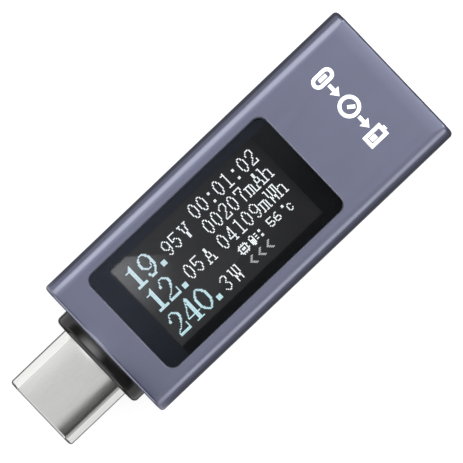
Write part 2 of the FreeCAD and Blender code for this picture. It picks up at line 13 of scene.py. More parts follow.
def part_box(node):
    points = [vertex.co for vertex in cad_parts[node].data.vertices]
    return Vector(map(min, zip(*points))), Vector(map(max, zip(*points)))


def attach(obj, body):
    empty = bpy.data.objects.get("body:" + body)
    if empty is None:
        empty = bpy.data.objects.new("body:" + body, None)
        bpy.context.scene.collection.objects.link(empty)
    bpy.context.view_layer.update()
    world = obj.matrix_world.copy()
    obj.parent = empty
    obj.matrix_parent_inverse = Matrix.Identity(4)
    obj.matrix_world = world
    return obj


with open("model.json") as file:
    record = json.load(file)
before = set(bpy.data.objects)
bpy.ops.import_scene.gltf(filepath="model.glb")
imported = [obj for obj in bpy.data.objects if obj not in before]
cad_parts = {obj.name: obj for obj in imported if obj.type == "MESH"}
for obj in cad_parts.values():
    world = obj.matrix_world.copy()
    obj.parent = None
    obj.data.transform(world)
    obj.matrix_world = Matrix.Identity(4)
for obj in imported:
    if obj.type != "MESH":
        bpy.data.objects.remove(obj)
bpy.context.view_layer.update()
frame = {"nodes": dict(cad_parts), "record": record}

MM = 0.001

# Housing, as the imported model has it
sleeve_low, sleeve_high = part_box("housing_sleeve")
glass_low, glass_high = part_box("display_window")
panel_low, panel_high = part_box("front_polariser")
plug_low, plug_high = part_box("plug_shell")
front_x = sleeve_low.x
face_z = sleeve_high.z

# Flat top of the collar around the plug, which is a step of the front cap
collar_x = front_x - 0.95 * MM
collar_top = 7.0 * MM

# Lit area of the display, which the printed border leaves open. Starts and ends are measured from
# the front of the housing, and halves from its middle.
lit_start = 5.54 * MM
lit_length = 18.2 * MM
lit_width = 9.7 * MM
lit_x = front_x + lit_start
lit_end = lit_start + lit_length
lit_half = lit_width / 2
dots_across = 139
dot_pitch = lit_length / dots_across
dot_gap = 0.1 * dot_pitch
dot_thickness = 0.004 * MM
dot_lift = 0.002 * MM

# Window with its printed border, and a little around it
border_start = 3.0 * MM
border_end = 26.2 * MM
border_half = 6.3 * MM

# Places of the readings on the display, in dots
big_columns = (5, 17, 29, 41)
decimals_column = 38
units_column = 56
totals_column = 70
status_row = 50
flow_row = 61

# Marks printed on the face, in a column across the housing near the socket end
marks_x = front_x + 31.2 * MM
marks_height = 2.3 * MM
marks_start_y = 4.92 * MM
ink_thickness = 0.012 * MM
mark_stroke = 0.36 * MM

# Camera: it looks straight down, from far enough that its lens sees almost no perspective
camera_height = 0.55
camera_x = 1.748 * MM
camera_y = -0.252 * MM
camera_roll = math.radians(43.62)
lens_mm = 450.3
sensor_mm = 36.0

# Studio. Directions are in degrees round the vertical, from +X.
card_distance = 0.4
floor_reach = 4.0
floor_glow = 0.78
room_glow = 0.25
to_socket = 0
to_left = 90
to_plug = 180
to_right = -90


# Materials ---------------------------------------------------------------------------------------


class Recipe:
    """A material whose node tree is put together one node at a time."""

    def __init__(self, name):
        self.material = bpy.data.materials.new(name)
        self.material.use_nodes = True
        self.tree = self.material.node_tree
        self.shader = self.tree.nodes["Principled BSDF"]
        self.output = self.tree.nodes["Material Output"]
        coordinates = self.node("ShaderNodeTexCoord")
        self.place = coordinates.outputs["Object"]
        self.facing = coordinates.outputs["Normal"]

    def node(self, kind, inputs=None, **settings):
        """Adds a node with its settings, and feeds its inputs."""
        made = self.tree.nodes.new(kind)
        for name, value in settings.items():
            setattr(made, name, value)
        for name, value in (inputs or {}).items():
            self.feed(made.inputs[name], value)
        return made

    def feed(self, socket, value):
        """Links a socket to another one, or sets its value."""
        if isinstance(value, bpy.types.NodeSocket):
            self.tree.links.new(value, socket)
        else:
            socket.default_value = value

    def set(self, **values):
        """Sets the shader's inputs, with underscores for the spaces in their names."""
        for name, value in values.items():
            self.feed(self.shader.inputs[name.replace("_", " ")], value)

    def math(self, operation, first, second=0.0, clamp=False):
        """The result of a sum, product or other operation on two values."""
        made = self.node("ShaderNodeMath", operation=operation, use_clamp=clamp)
        self.feed(made.inputs[0], first)
        self.feed(made.inputs[1], second)
        return made.outputs[0]

    def stretched(self, scale):
        """The object's coordinates, scaled along each axis."""
        made = self.node("ShaderNodeVectorMath", {0: self.place, 1: scale}, operation="MULTIPLY")
        return made.outputs[0]

    def grain(self, size, detail=2.0, stretch=(1, 1, 1)):
        """Noise from 0 to 1 whose spots are about size metres wide, drawn out where stretch is under 1."""
        inputs = {"Vector": self.stretched(stretch), "Scale": 1 / size, "Detail": detail}
        return self.node("ShaderNodeTexNoise", inputs).outputs["Fac"]

    def spread(self, value, low, high, start=0.3, end=0.7):
        """A value between start and end, spread out from low to high, and held there."""
        inputs = {"Value": value, "From Min": start, "From Max": end, "To Min": low, "To Max": high}
        return self.node("ShaderNodeMapRange", inputs).outputs["Result"]

    def mixed(self, share, first, second):
        """A colour between two colours, given as three numbers or as sockets."""
        made = self.node("ShaderNodeMix", data_type="RGBA")
        self.feed(made.inputs["Factor"], share)
        for name, colour in (("A", first), ("B", second)):
            value = colour if isinstance(colour, bpy.types.NodeSocket) else (*colour, 1.0)
            self.feed([s for s in made.inputs if s.name == name and s.type == "RGBA"][0], value)
        return [s for s in made.outputs if s.type == "RGBA"][0]

    def bump(self, height, depth):
        """A normal that rises and falls by depth metres with height."""
        inputs = {"Height": height, "Distance": depth, "Strength": 1.0}
        return self.node("ShaderNodeBump", inputs).outputs["Normal"]

    def axis(self, vector, name):
        """One part of a vector: X, Y or Z."""
        return self.node("ShaderNodeSeparateXYZ", {"Vector": vector}).outputs[name]

    def within(self, name, low, high, soft):
        """1 where the coordinate lies between low and high, fading to 0 over soft metres outside."""
        value = self.axis(self.place, name)
        rise = self.spread(value, 0.0, 1.0, low - soft, low)
        fall = self.spread(value, 1.0, 0.0, high, high + soft)
        return self.math("MULTIPLY", rise, fall)


def shaded(colour, factor):
    """A colour made lighter or darker."""
    return tuple(min(1.0, part * factor) for part in colour)


def dim_glow(material):
    """Keeps a faint glow out of the lamps that the renderer aims its light samples at."""
    material.cycles.emission_sampling = "NONE"
    return material


def anodised_aluminium(name):
    """Slate anodising over a bead-blasted extrusion: dyed metal under the clear skin of its oxide.
    The cut edge of the window is left bright."""
    recipe = Recipe(name)
    slate = (0.076, 0.082, 0.136)
    bare = (0.62, 0.63, 0.68)
    blast = recipe.grain(0.07 * MM, 3.0)
    cloud = recipe.grain(5 * MM, 2.0)
    rub = recipe.grain(0.9 * MM, 4.0, (0.25, 1, 1))
    toned = recipe.mixed(recipe.spread(cloud, 0.0, 1.0), shaded(slate, 0.975), shaded(slate, 1.03))
    toned = recipe.mixed(recipe.spread(blast, 0.0, 0.5), toned, shaded(slate, 1.12))
    around = 0.2 * MM
    deep = 0.16 * MM
    soft = 0.01 * MM
    cut_share = 0.22
    along = recipe.within("X", glass_low.x - around, glass_high.x + around, soft)
    across = recipe.within("Y", glass_low.y - around, glass_high.y + around, soft)
    above = recipe.within("Z", face_z - deep, face_z + 1 * MM, soft)
    tilt = recipe.spread(recipe.axis(recipe.facing, "Z"), 1.0, 0.0, 0.75, 0.95)
    rim = recipe.math("MULTIPLY", along, across)
    cut = recipe.math("MULTIPLY", recipe.math("MULTIPLY", rim, tilt), above)
    satin = recipe.bump(blast, 0.0007 * MM)
    recipe.set(
        Base_Color=recipe.mixed(recipe.math("MULTIPLY", cut, cut_share), toned, bare),
        Metallic=1.0, Roughness=recipe.spread(rub, 0.42, 0.47), Specular_Tint=(0.4, 0.4, 0.45, 1.0),
        Coat_Weight=1.0, Coat_Roughness=recipe.spread(rub, 0.21, 0.25), Coat_IOR=1.7,
        Normal=satin, Coat_Normal=satin,
    )
    return recipe.material


def moulding(name, colour, roughness, texture=0.09 * MM, depth=0.0015 * MM):
    """Moulded plastic: a fine spark-eroded texture, faint flow marks and a slightly uneven gloss."""
    recipe = Recipe(name)
    fine = recipe.grain(texture, 3.0)
    flow = recipe.grain(1.6 * MM, 2.0, (0.4, 1, 1))
    tone = recipe.mixed(recipe.spread(flow, 0.0, 1.0), shaded(colour, 0.88), shaded(colour, 1.15))
    recipe.set(
        Base_Color=recipe.mixed(recipe.spread(fine, 0.0, 0.35), tone, shaded(colour, 1.3)),
        Roughness=recipe.spread(flow, roughness * 0.92, roughness * 1.1),
        Normal=recipe.bump(fine, depth),
    )
    return recipe.material


def satin_cap(name):
    """Satin black moulding of the two caps, a little unevenly polished."""
    recipe = Recipe(name)
    fine = recipe.grain(0.2 * MM, 3.0)
    uneven = recipe.grain(1.1 * MM, 2.0)
    deep_black = (0.007, 0.007, 0.0068)
    worn_black = (0.0095, 0.0093, 0.009)
    recipe.set(
        Base_Color=recipe.mixed(recipe.spread(uneven, 0.0, 1.0), deep_black, worn_black),
        Roughness=recipe.spread(uneven, 0.12, 0.16),
        Specular_IOR_Level=0.38,
        Normal=recipe.bump(fine, 0.0005 * MM),
    )
    return recipe.material


def plated(name, colour, roughness, stretch=(0.03, 1, 1)):
    """Plated or rolled sheet metal, with fine drawing lines and a few faint rubs."""
    recipe = Recipe(name)
    lines = recipe.grain(0.05 * MM, 3.0, stretch)
    rubs = recipe.grain(1.2 * MM, 3.0, (0.3, 1, 1))
    tone = recipe.mixed(recipe.spread(lines, 0.0, 1.0), shaded(colour, 0.95), shaded(colour, 1.05))
    recipe.set(
        Base_Color=recipe.mixed(recipe.spread(rubs, 0.0, 0.5), tone, shaded(colour, 0.96)),
        Metallic=1.0,
        Roughness=recipe.spread(rubs, roughness * 0.85, roughness * 1.2),
        Normal=recipe.bump(lines, 0.0003 * MM),
    )
    return recipe.material


def clear_plate(name, tint, roughness):
    """Thin clear plate: light goes straight through, and the surface mirrors more the lower one looks.
    What it would mirror straight up is left to the smooth film and ink that are bonded under it."""
    recipe = Recipe(name)
    smudge = recipe.grain(2.2 * MM, 4.0, (1, 0.6, 1))
    through = recipe.node("ShaderNodeBsdfTransparent", {"Color": (*tint, 1.0)})
    gloss = recipe.node(
        "ShaderNodeBsdfGlossy",
        {"Color": (1, 1, 1, 1), "Roughness": recipe.spread(smudge, roughness, roughness * 2.2)},
    )
    slant = recipe.node("ShaderNodeLayerWeight", {"Blend": 0.5}).outputs["Facing"]
    share = recipe.math("POWER", slant, 5.0, clamp=True)
    mix = recipe.node("ShaderNodeMixShader", {"Fac": share})
    recipe.feed(mix.inputs[1], through.outputs[0])
    recipe.feed(mix.inputs[2], gloss.outputs[0])
    recipe.tree.nodes.remove(recipe.shader)
    recipe.feed(recipe.output.inputs["Surface"], mix.outputs[0])
    return recipe.material


def display_film(name):
    """Dark polariser over the unlit display: a hard smooth film with a trace of the backlight in it."""
    recipe = Recipe(name)
    leak = recipe.grain(6 * MM, 1.0)
    cell = recipe.grain(0.09 * MM, 1.0)
    dark = (0.0035, 0.0035, 0.004)
    less_dark = (0.006, 0.006, 0.0065)
    cool = (0.85, 0.88, 1.0)
    warm = (1.0, 0.93, 0.9)
    recipe.set(
        Base_Color=recipe.mixed(recipe.spread(leak, 0.0, 1.0), dark, less_dark),
        Roughness=recipe.spread(leak, 0.009, 0.014),
        Emission_Color=recipe.mixed(recipe.spread(cell, 0.0, 1.0), cool, warm),
        Emission_Strength=recipe.spread(leak, 0.005, 0.008),
    )
    return dim_glow(recipe.material)


def glazed_ink(name):
    """Black screen print on the back of the glass, as smooth as the glass it is bonded to."""
    recipe = Recipe(name)
    cover = recipe.grain(0.4 * MM, 3.0)
    haze = recipe.grain(3 * MM, 2.0)
    thick = (0.0028, 0.0029, 0.0035)
    thin = (0.0038, 0.0040, 0.0046)
    recipe.set(
        Base_Color=recipe.mixed(recipe.spread(cover, 0.0, 1.0), thick, thin),
        Roughness=recipe.spread(haze, 0.009, 0.014),
    )
    return recipe.material


def film(name, colour, roughness):
    """Thin optical film or tape, with the faint waviness of a rolled sheet."""
    recipe = Recipe(name)
    wave = recipe.grain(1.5 * MM, 2.0, (0.2, 1, 1))
    recipe.set(
        Base_Color=recipe.mixed(recipe.spread(wave, 0.0, 1.0), shaded(colour, 0.96), shaded(colour, 1.04)),
        Roughness=recipe.spread(wave, roughness * 0.9, roughness * 1.1),
        Normal=recipe.bump(wave, 0.002 * MM),
    )
    return recipe.material


def foam(name, colour):
    """Closed-cell foam: small round cells."""
    recipe = Recipe(name)
    cells = recipe.node(
        "ShaderNodeTexVoronoi", {"Vector": recipe.place, "Scale": 1 / (0.12 * MM)}
    ).outputs["Distance"]
    recipe.set(
        Base_Color=recipe.mixed(cells, shaded(colour, 0.6), shaded(colour, 1.6)),
        Roughness=0.95,
        Normal=recipe.bump(cells, 0.02 * MM),
    )
    return recipe.material


def board_laminate(name):
    """Solder mask over the glass cloth of a circuit board, whose weave just shows through."""
    recipe = Recipe(name)
    turns = 2 * math.pi / (0.4 * MM)
    threads = [
        recipe.math("SINE", recipe.math("MULTIPLY", recipe.axis(recipe.place, axis), turns))
        for axis in ("X", "Y")
    ]
    weave = recipe.math("MULTIPLY", *threads)
    dark_green = (0.008, 0.05, 0.025)
    light_green = (0.012, 0.075, 0.038)
    recipe.set(
        Base_Color=recipe.mixed(recipe.spread(weave, 0.0, 1.0, -1, 1), dark_green, light_green),
        Roughness=0.35,
        Normal=recipe.bump(weave, 0.004 * MM),
    )
    return recipe.material


def glow(name, top, bottom, strength):
    """Lit display dots. Their tint runs down the display, and their brightness differs a little."""
    recipe = Recipe(name)
    down = recipe.spread(recipe.axis(recipe.place, "Y"), 1.0, 0.0, -lit_half, lit_half)
    uneven = recipe.grain(dot_pitch, 0.0)
    recipe.set(
        Base_Color=(0.02, 0.02, 0.02, 1.0),
        Roughness=0.4,
        Emission_Color=recipe.mixed(down, top, bottom),
        Emission_Strength=recipe.spread(uneven, strength * 0.9, strength * 1.08),
    )
    return dim_glow(recipe.material)


def print_ink_with_painted_glow(name):
    """White pad-printed ink: matt, a little thinner and greyer in places. Its faint white glow is painted
    light.
    """
    recipe = Recipe(name)
    cover = recipe.grain(0.12 * MM, 3.0)
    recipe.set(
        Base_Color=recipe.mixed(recipe.spread(cover, 0.0, 1.0), (0.80, 0.81, 0.84), (0.92, 0.92, 0.95)),
        Roughness=recipe.spread(cover, 0.5, 0.62),
        # Painted light: a faint white glow that keeps the printed marks bright
        Emission_Color=(1, 1, 1, 1),
        Emission_Strength=0.06,
        Normal=recipe.bump(cover, 0.001 * MM),
    )
    return dim_glow(recipe.material)


def part_materials():
    """One finish for each material slot of the record."""
    return {
        "anodised_aluminium": anodised_aluminium("anodised_aluminium"),
        "black_cap": satin_cap("black_cap"),
        "black_button": moulding("black_button", (0.012, 0.012, 0.013), 0.42),
        "cover_glass": clear_plate("cover_glass", (0.97, 0.98, 0.99), 0.008),
        "black_ink": glazed_ink("black_ink"),
        "black_tape": film("black_tape", (0.01, 0.01, 0.01), 0.5),
        "black_foam": foam("black_foam", (0.015, 0.015, 0.015)),
        "polariser_film": display_film("polariser_film"),
        "display_glass": clear_plate("display_glass", (0.92, 0.95, 0.96), 0.01),
        "bare_chip": plated("bare_chip", (0.06, 0.065, 0.08), 0.1, (1, 1, 1)),
        "white_film": film("white_film", (0.85, 0.85, 0.83), 0.6),
        "clear_acrylic": clear_plate("clear_acrylic", (0.93, 0.95, 0.96), 0.02),
        "white_moulding": moulding("white_moulding", (0.82, 0.82, 0.8), 0.5),
        "lamp_resin": moulding("lamp_resin", (0.9, 0.82, 0.3), 0.3),
        "ribbon_film": film("ribbon_film", (0.55, 0.22, 0.03), 0.3),
        "board_laminate": board_laminate("board_laminate"),
        "chip_resin": moulding("chip_resin", (0.02, 0.02, 0.022), 0.55, 0.05 * MM, 0.002 * MM),
        "capacitor_ceramic": moulding("capacitor_ceramic", (0.42, 0.3, 0.18), 0.45, 0.04 * MM, 0.001 * MM),
        "resistor_black": moulding("resistor_black", (0.015, 0.015, 0.018), 0.25),
        "can_metal": plated("can_metal", (0.62, 0.62, 0.6), 0.3),
        "plug_metal": plated("plug_metal", (0.58, 0.58, 0.565), 0.115),
        "spring_metal": plated("spring_metal", (0.55, 0.54, 0.52), 0.25),
        "connector_black": moulding("connector_black", (0.014, 0.014, 0.015), 0.45),
        "contact_gold": plated("contact_gold", (0.83, 0.6, 0.22), 0.2),
        "switch_black": moulding("switch_black", (0.02, 0.02, 0.02), 0.5),
        "plunger_white": moulding("plunger_white", (0.75, 0.75, 0.72), 0.45),
    }


def paint_parts():
    """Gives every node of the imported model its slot's finish."""
    materials = part_materials()
    for row in frame["record"]["subparts"]:
        mesh = frame["nodes"][row["node"]].data
        mesh.materials.clear()
        mesh.materials.append(materials[row["material_slot"]])


# Mesh helpers ------------------------------------------------------------------------------------


def new_piece(name, mesh_maker, material):
    """An object that rides on the meter, with its mesh made by mesh_maker(bm)."""
    mesh = bpy.data.meshes.new(name)
    bm = bmesh.new()
    mesh_maker(bm)
    bmesh.ops.recalc_face_normals(bm, faces=bm.faces)
    bm.to_mesh(mesh)
    bm.free()
    mesh.materials.append(material)
    piece = bpy.data.objects.new(name, mesh)
    bpy.context.scene.collection.objects.link(piece)
    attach(piece, "meter")
    return piece


def prism(bm, outline, low, high):
    """A closed prism over an outline of (x, y) points."""
    under = [bm.verts.new((x, y, low)) for x, y in outline]
    over = [bm.verts.new((x, y, high)) for x, y in outline]
    bm.faces.new(under[::-1])
    bm.faces.new(over)
    for i, corner in enumerate(under):
        after = (i + 1) % len(under)
        bm.faces.new((corner, under[after], over[after], over[i]))


def stroke(bm, points, width, low, high, closed=False):
    """A closed solid of even width along a line of (x, y) points, mitred at its corners."""
    sharpest_mitre = 0.3
    count = len(points)
    sections = []
    for i, point in enumerate(points):
        here = Vector(point)
        before = Vector(points[i - 1]) if closed or i > 0 else None
        after = Vector(points[(i + 1) % count]) if closed or i < count - 1 else None
        ahead = (after - here).normalized() if after is not None else (here - before).normalized()
        behind = (here - before).normalized() if before is not None else ahead
        middle = (ahead + behind).normalized()
        across = Vector((-middle.y, middle.x)) * width / 2 / max(sharpest_mitre, middle.dot(ahead))
        rim = (here + across, here - across)
        sections.append([bm.verts.new((p.x, p.y, z)) for z in (low, high) for p in rim])
    nexts = sections[1:] + sections[:1] if closed else sections[1:]
    for first, second in zip(sections, nexts):
        for a, b in ((0, 1), (1, 3), (3, 2), (2, 0)):
            bm.faces.new((first[a], first[b], second[b], second[a]))
    if not closed:
        for end in (sections[0], sections[-1]):
            bm.faces.new((end[0], end[1], end[3], end[2]))


# Display -----------------------------------------------------------------------------------------
#
# A glyph is a list of pen lines on the grid of dots: columns to the right, rows down.


def line(*points, pen=(1, 1)):
    """A pen line through some dots. The pen covers that many dots across and down from each of them."""
    return points, pen


def spot(column, row, pen=(1, 1)):
    """One touch of the pen."""
    return line((column, row), (column, row), pen=pen)


small_advance = 8
small_glyphs = {
    "0": [line((2, 0), (3, 0), (5, 3), (5, 8), (3, 11), (2, 11), (0, 8), (0, 3), (2, 0))],
    "1": [line((1, 1), (2, 1)), line((3, 0), (3, 11)), line((1, 11), (5, 11))],
    "2": [line((0, 3), (0, 2), (2, 0), (4, 0), (5, 2), (5, 4), (0, 10), (0, 11), (5, 11), (5, 9))],
    "3": [line((0, 2), (2, 0), (4, 0), (5, 2), (5, 3), (3, 5), (5, 7), (5, 9), (3, 11), (2, 11), (0, 9))],
    "4": [line((4, 0), (0, 7), (0, 8), (5, 8)), line((4, 0), (4, 11)), line((3, 11), (5, 11))],
    "5": [
        line((5, 0), (0, 0), (0, 5), (1, 5), (2, 4), (3, 4), (5, 6), (5, 8), (3, 11), (2, 11), (0, 9)),
    ],
    "7": [line((0, 2), (0, 0), (5, 0), (5, 1), (3, 5), (3, 11))],
    "9": [
        line((5, 5), (3, 7), (2, 7), (0, 5), (0, 2), (2, 0), (3, 0), (5, 2), (5, 8), (3, 11), (2, 11)),
        spot(1, 10),
    ],
    ":": [spot(2, 3, pen=(2, 2)), spot(2, 10, pen=(2, 2))],
    "V": [
        line((-1, 0), (1, 0)), line((4, 0), (6, 0)),
        line((0, 1), (2, 8), (2, 11)), line((5, 1), (3, 8), (3, 11)),
    ],
    "A": [
        line((2, 0), (2, 1), (0, 10)), line((3, 0), (3, 1), (5, 10)), line((1, 7), (4, 7)),
        line((-1, 11), (1, 11)), line((4, 11), (6, 11)),
    ],
    "W": [
        line((-1, 0), (0, 0), (0, 5), (1, 7), (1, 11)), line((5, 0), (6, 0), (6, 5), (5, 7), (5, 11)),
        line((3, 0), (3, 5), (1, 10)), line((3, 5), (5, 10)),
    ],
    "m": [
        line((-1, 4), (4, 4), (5, 5), (5, 11)), line((0, 4), (0, 11)), line((3, 4), (3, 11)),
        line((-1, 11), (0, 11)), line((2, 11), (3, 11)), line((5, 11), (6, 11)),
    ],
    "h": [
        line((-1, 0), (0, 0), (0, 11)), line((0, 6), (2, 4), (4, 4), (5, 5), (5, 11)),
        line((-1, 11), (1, 11)), line((4, 11), (6, 11)),
    ],
}

tiny_advance = 6
tiny_glyphs = {
    "5": [line((4, 0), (0, 0), (0, 3), (3, 3), (4, 4), (4, 5), (3, 6), (1, 6), (0, 5))],
    "6": [line((3, 0), (2, 0), (0, 2), (0, 5), (1, 6), (3, 6), (4, 5), (4, 4), (3, 3), (0, 3))],
}

big_glyphs = {
    "1": [
        line((1, 3), (3, 3), (6, 0)), line((5, 1), (5, 2), pen=(2, 1)),
        line((4, 3), (4, 16), pen=(3, 1)), line((1, 16), (9, 16), pen=(1, 2)),
    ],
    "2": [
        spot(0, 4, pen=(2, 2)), line((0, 4), (3, 0), (6, 0)),
        line((6, 1), (8, 3), (8, 6), (6, 9), pen=(2, 1)), line((6, 10), (0, 15)),
        line((0, 16), (9, 16), pen=(1, 2)), line((9, 12), (9, 15)),
    ],
    "4": [
        line((7, -1), (0, 11)), line((0, 12), (10, 12)), line((7, 0), (7, 2), pen=(2, 1)),
        line((6, 3), (6, 16), pen=(3, 1)), line((4, 17), (10, 17)),
    ],
    "9": [
        line((4, 0), (7, 0)), line((2, 1), (0, 4), (0, 8), (2, 10), pen=(2, 1)),
        line((3, 11), (6, 11), (8, 8)), line((7, 1), (9, 4), (9, 10), (7, 14), (5, 16), pen=(2, 1)),
        line((2, 17), (6, 17)), line((2, 16), (5, 16)), spot(1, 14, pen=(2, 2)),
    ],
    "0": [
        line((2, 2), (0, 5), (0, 12), (2, 15), pen=(2, 1)),
        line((7, 2), (9, 5), (9, 12), (7, 15), pen=(2, 1)),
        line((4, 0), (6, 0)), line((3, 1), (4, 1)), line((6, 1), (7, 1)),
        line((4, 17), (6, 17)), line((3, 16), (4, 16)), line((6, 16), (7, 16)),
    ],
    ".": [spot(1, 14, pen=(4, 4))],
}

degree_sign = [spot(0, 0, pen=(2, 2)), line((6, 3), (5, 2), (4, 2), (3, 3), (3, 6), (4, 7), (5, 7), (6, 6))]
chip_sign = [
    line((1, 1), (7, 1), (7, 6), (1, 6), (1, 1)), line((3, 3), (5, 3), (5, 4), (3, 4)),
    spot(2, 0), spot(4, 0), spot(6, 0), spot(2, 7), spot(4, 7), spot(6, 7),
    spot(0, 2), spot(0, 5), spot(8, 2), spot(8, 5),
]
thermometer_sign = [
    line((0, 5), (0, 1), (1, 0), (2, 0), (3, 1), (3, 5)), line((0, 6), (1, 7), (2, 7), (3, 6)),
    line((1, 3), (1, 6), pen=(2, 1)), line((5, 1), (6, 1)), line((5, 3), (6, 3)), line((5, 5), (6, 5)),
]
colon_sign = [spot(0, 1, pen=(2, 2)), spot(0, 5, pen=(2, 2))]
chevron_sign = [line((3, 0), (0, 3), (3, 6), pen=(2, 1))]


def covered(glyph, column, row):
    """Every dot that a glyph lights when its corner is at that column and row."""
    dots = set()
    for points, (pen_across, pen_down) in glyph:
        for (column_0, row_0), (column_1, row_1) in zip(points, points[1:]):
            steps = max(abs(column_1 - column_0), abs(row_1 - row_0), 1)
            for step in range(steps + 1):
                here_column = math.floor(column_0 + (column_1 - column_0) * step / steps + 0.5)
                here_row = math.floor(row_0 + (row_1 - row_0) * step / steps + 0.5)
                for across in range(pen_across):
                    for down in range(pen_down):
                        dots.add((column + here_column + across, row + here_row + down))
    return dots


def written(text, glyphs, advance, column, row):
    """The dots of a line of glyphs."""
    dots = set()
    for i, sign in enumerate(text):
        dots |= covered(glyphs[sign], column + i * advance, row)
    return dots


def light_dots(name, dots, material):
    """One small closed plate for each lit dot, just above the display's front film."""
    low = panel_high.z + dot_lift
    side = dot_pitch - dot_gap

    def plates(bm):
        for column, row in sorted(dots):
            x = lit_x + column * dot_pitch
            y = lit_half - row * dot_pitch
            outline = [(x, y - side), (x + side, y - side), (x + side, y), (x, y)]
            prism(bm, outline, low, low + dot_thickness)

    return new_piece(name, plates, material)


def big_readings():
    """Volts, amperes and watts: the whole numbers in large figures."""
    whole = set()
    for text, row in (("19.", 6), ("12.", 28), ("240.", 51)):
        for sign, column in zip(text, big_columns):
            whole |= covered(big_glyphs[sign], column, row)
    return whole


def small_readings():
    """The decimals and units of the large readings, and the column of running totals."""
    places = [
        ("95", decimals_column, 10), ("V", units_column, 10),
        ("05", decimals_column, 33), ("A", units_column, 34),
        ("3", 51, 57), ("W", 61, 57),
        ("00:01:02", totals_column, 4), ("00207mAh", totals_column, 19), ("04109mWh", totals_column, 34),
    ]
    dots = set()
    for text, column, row in places:
        dots |= written(text, small_glyphs, small_advance, column, row)
    return dots


def status_line():
    """The meter's own temperature, with signs in place of words."""
    dots = written("56", tiny_glyphs, tiny_advance, 105, status_row)
    for sign, column in ((chip_sign, 76), (thermometer_sign, 87), (colon_sign, 96), (degree_sign, 120)):
        dots |= covered(sign, column, status_row)
    return dots


def flow_signs():
    """Three chevrons that show which way the current flows."""
    dots = set()
    for i in range(3):
        dots |= covered(chevron_sign, 77 + i * small_advance, flow_row)
    return dots


def make_display():
    """All that the display shows."""
    blue = glow("figures_blue", (0.70, 0.86, 0.94), (0.57, 0.88, 0.91), 1.0)
    white = glow("figures_white", (0.93, 0.97, 1.0), (0.97, 1.0, 1.0), 1.05)
    dim = glow("figures_dim", (0.5, 0.51, 0.5), (0.52, 0.5, 0.5), 0.85)
    light_dots("display_big_figures", big_readings(), blue)
    light_dots("display_small_figures", small_readings(), white)
    light_dots("display_status_line", status_line(), white)
    light_dots("display_flow_signs", flow_signs(), dim)


# Marks on the face -------------------------------------------------------------------------------
#
# Each sign is drawn in its own cell, in cell heights: s runs along the column, t up towards +X.


def ring(centre_s, centre_t, radius, count=40):
    """Points round a circle."""
    angles = [2 * math.pi / count * i for i in range(count)]
    return [(centre_s + radius * math.cos(a), centre_t + radius * math.sin(a)) for a in angles]


def stadium(centre_s, centre_t, width, height, count=16):
    """Points round an upright shape with fully rounded ends."""
    radius = width / 2
    straight = height / 2 - radius
    points = []
    for end in (1, -1):
        for i in range(count + 1):
            angle = math.pi * i / count
            points.append((
                centre_s + end * radius * math.cos(angle),
                centre_t + end * (straight + radius * math.sin(angle)),
            ))
    return points


def plug_sign(draw):
    draw.line(stadium(0.3, 0.5, 0.42, 0.9), closed=True)
    draw.line([(0.3, 0.3), (0.3, 0.7)])


def arrow_sign(draw):
    draw.line([(0.0, 0.5), (0.34, 0.5)])
    draw.fill([(0.3, 0.26), (0.3, 0.74), (0.62, 0.5)])


def meter_sign(draw):
    draw.line(ring(0.44, 0.5, 0.4), closed=True)
    draw.line([(0.4, 0.42), (0.6, 0.68)])


def battery_sign(draw):
    draw.line([(0.06, 0.06), (0.5, 0.06), (0.5, 0.84), (0.06, 0.84)], closed=True)
    draw.fill([(0.18, 0.9), (0.38, 0.9), (0.38, 1.0), (0.18, 1.0)])
    draw.fill([(0.18, 0.19), (0.38, 0.19), (0.38, 0.48), (0.18, 0.48)])


class Printer:
    """Draws signs on the face, one after another down the column."""

    def __init__(self, bm):
        self.bm = bm
        self.start = 0.0

    def place(self, points):
        return [
            (marks_x + t * marks_height, marks_start_y - self.start - s * marks_height) for s, t in points
        ]

    def line(self, points, closed=False):
        stroke(self.bm, self.place(points), mark_stroke, face_z, face_z + ink_thickness, closed)

    def fill(self, points):
        prism(self.bm, self.place(points), face_z, face_z + ink_thickness)


def make_marks():
    """Plug, arrow, meter, arrow and battery: what the object does, in signs. Each has its own
    advance down the column, in millimetres."""
    column = [
        (plug_sign, 1.55), (arrow_sign, 1.75), (meter_sign, 2.3), (arrow_sign, 1.75), (battery_sign, 1.4),
    ]

    def signs(bm):
        draw = Printer(bm)
        for sign, advance in column:
            sign(draw)
            draw.start += advance * MM

    new_piece("face_marks", signs, print_ink_with_painted_glow("print_ink_with_painted_glow"))


# Studio ------------------------------------------------------------------------------------------


def floor_material():
    """Pale matt table top: very fine paper grain."""
    recipe = Recipe("pale_floor")
    grain = recipe.grain(0.6 * MM, 3.0)
    recipe.set(
        Base_Color=recipe.mixed(grain, (0.29, 0.29, 0.29), (0.31, 0.31, 0.31)),
        Roughness=0.9, Specular_IOR_Level=0.1,
        Emission_Color=(1.0, 1.0, 1.0, 1.0), Emission_Strength=floor_glow,
    )
    return dim_glow(recipe.material)


def make_floor():
    """Level floor under the object, which gloss doesn't mirror."""
    mesh = bpy.data.meshes.new("floor")
    reach = floor_reach
    corners = [(-reach, -reach, 0), (reach, -reach, 0), (reach, reach, 0), (-reach, reach, 0)]
    mesh.from_pydata(corners, [], [(0, 1, 2, 3)])
    mesh.materials.append(floor_material())
    floor = bpy.data.objects.new("floor", mesh)
    bpy.context.scene.collection.objects.link(floor)
    floor.visible_glossy = False


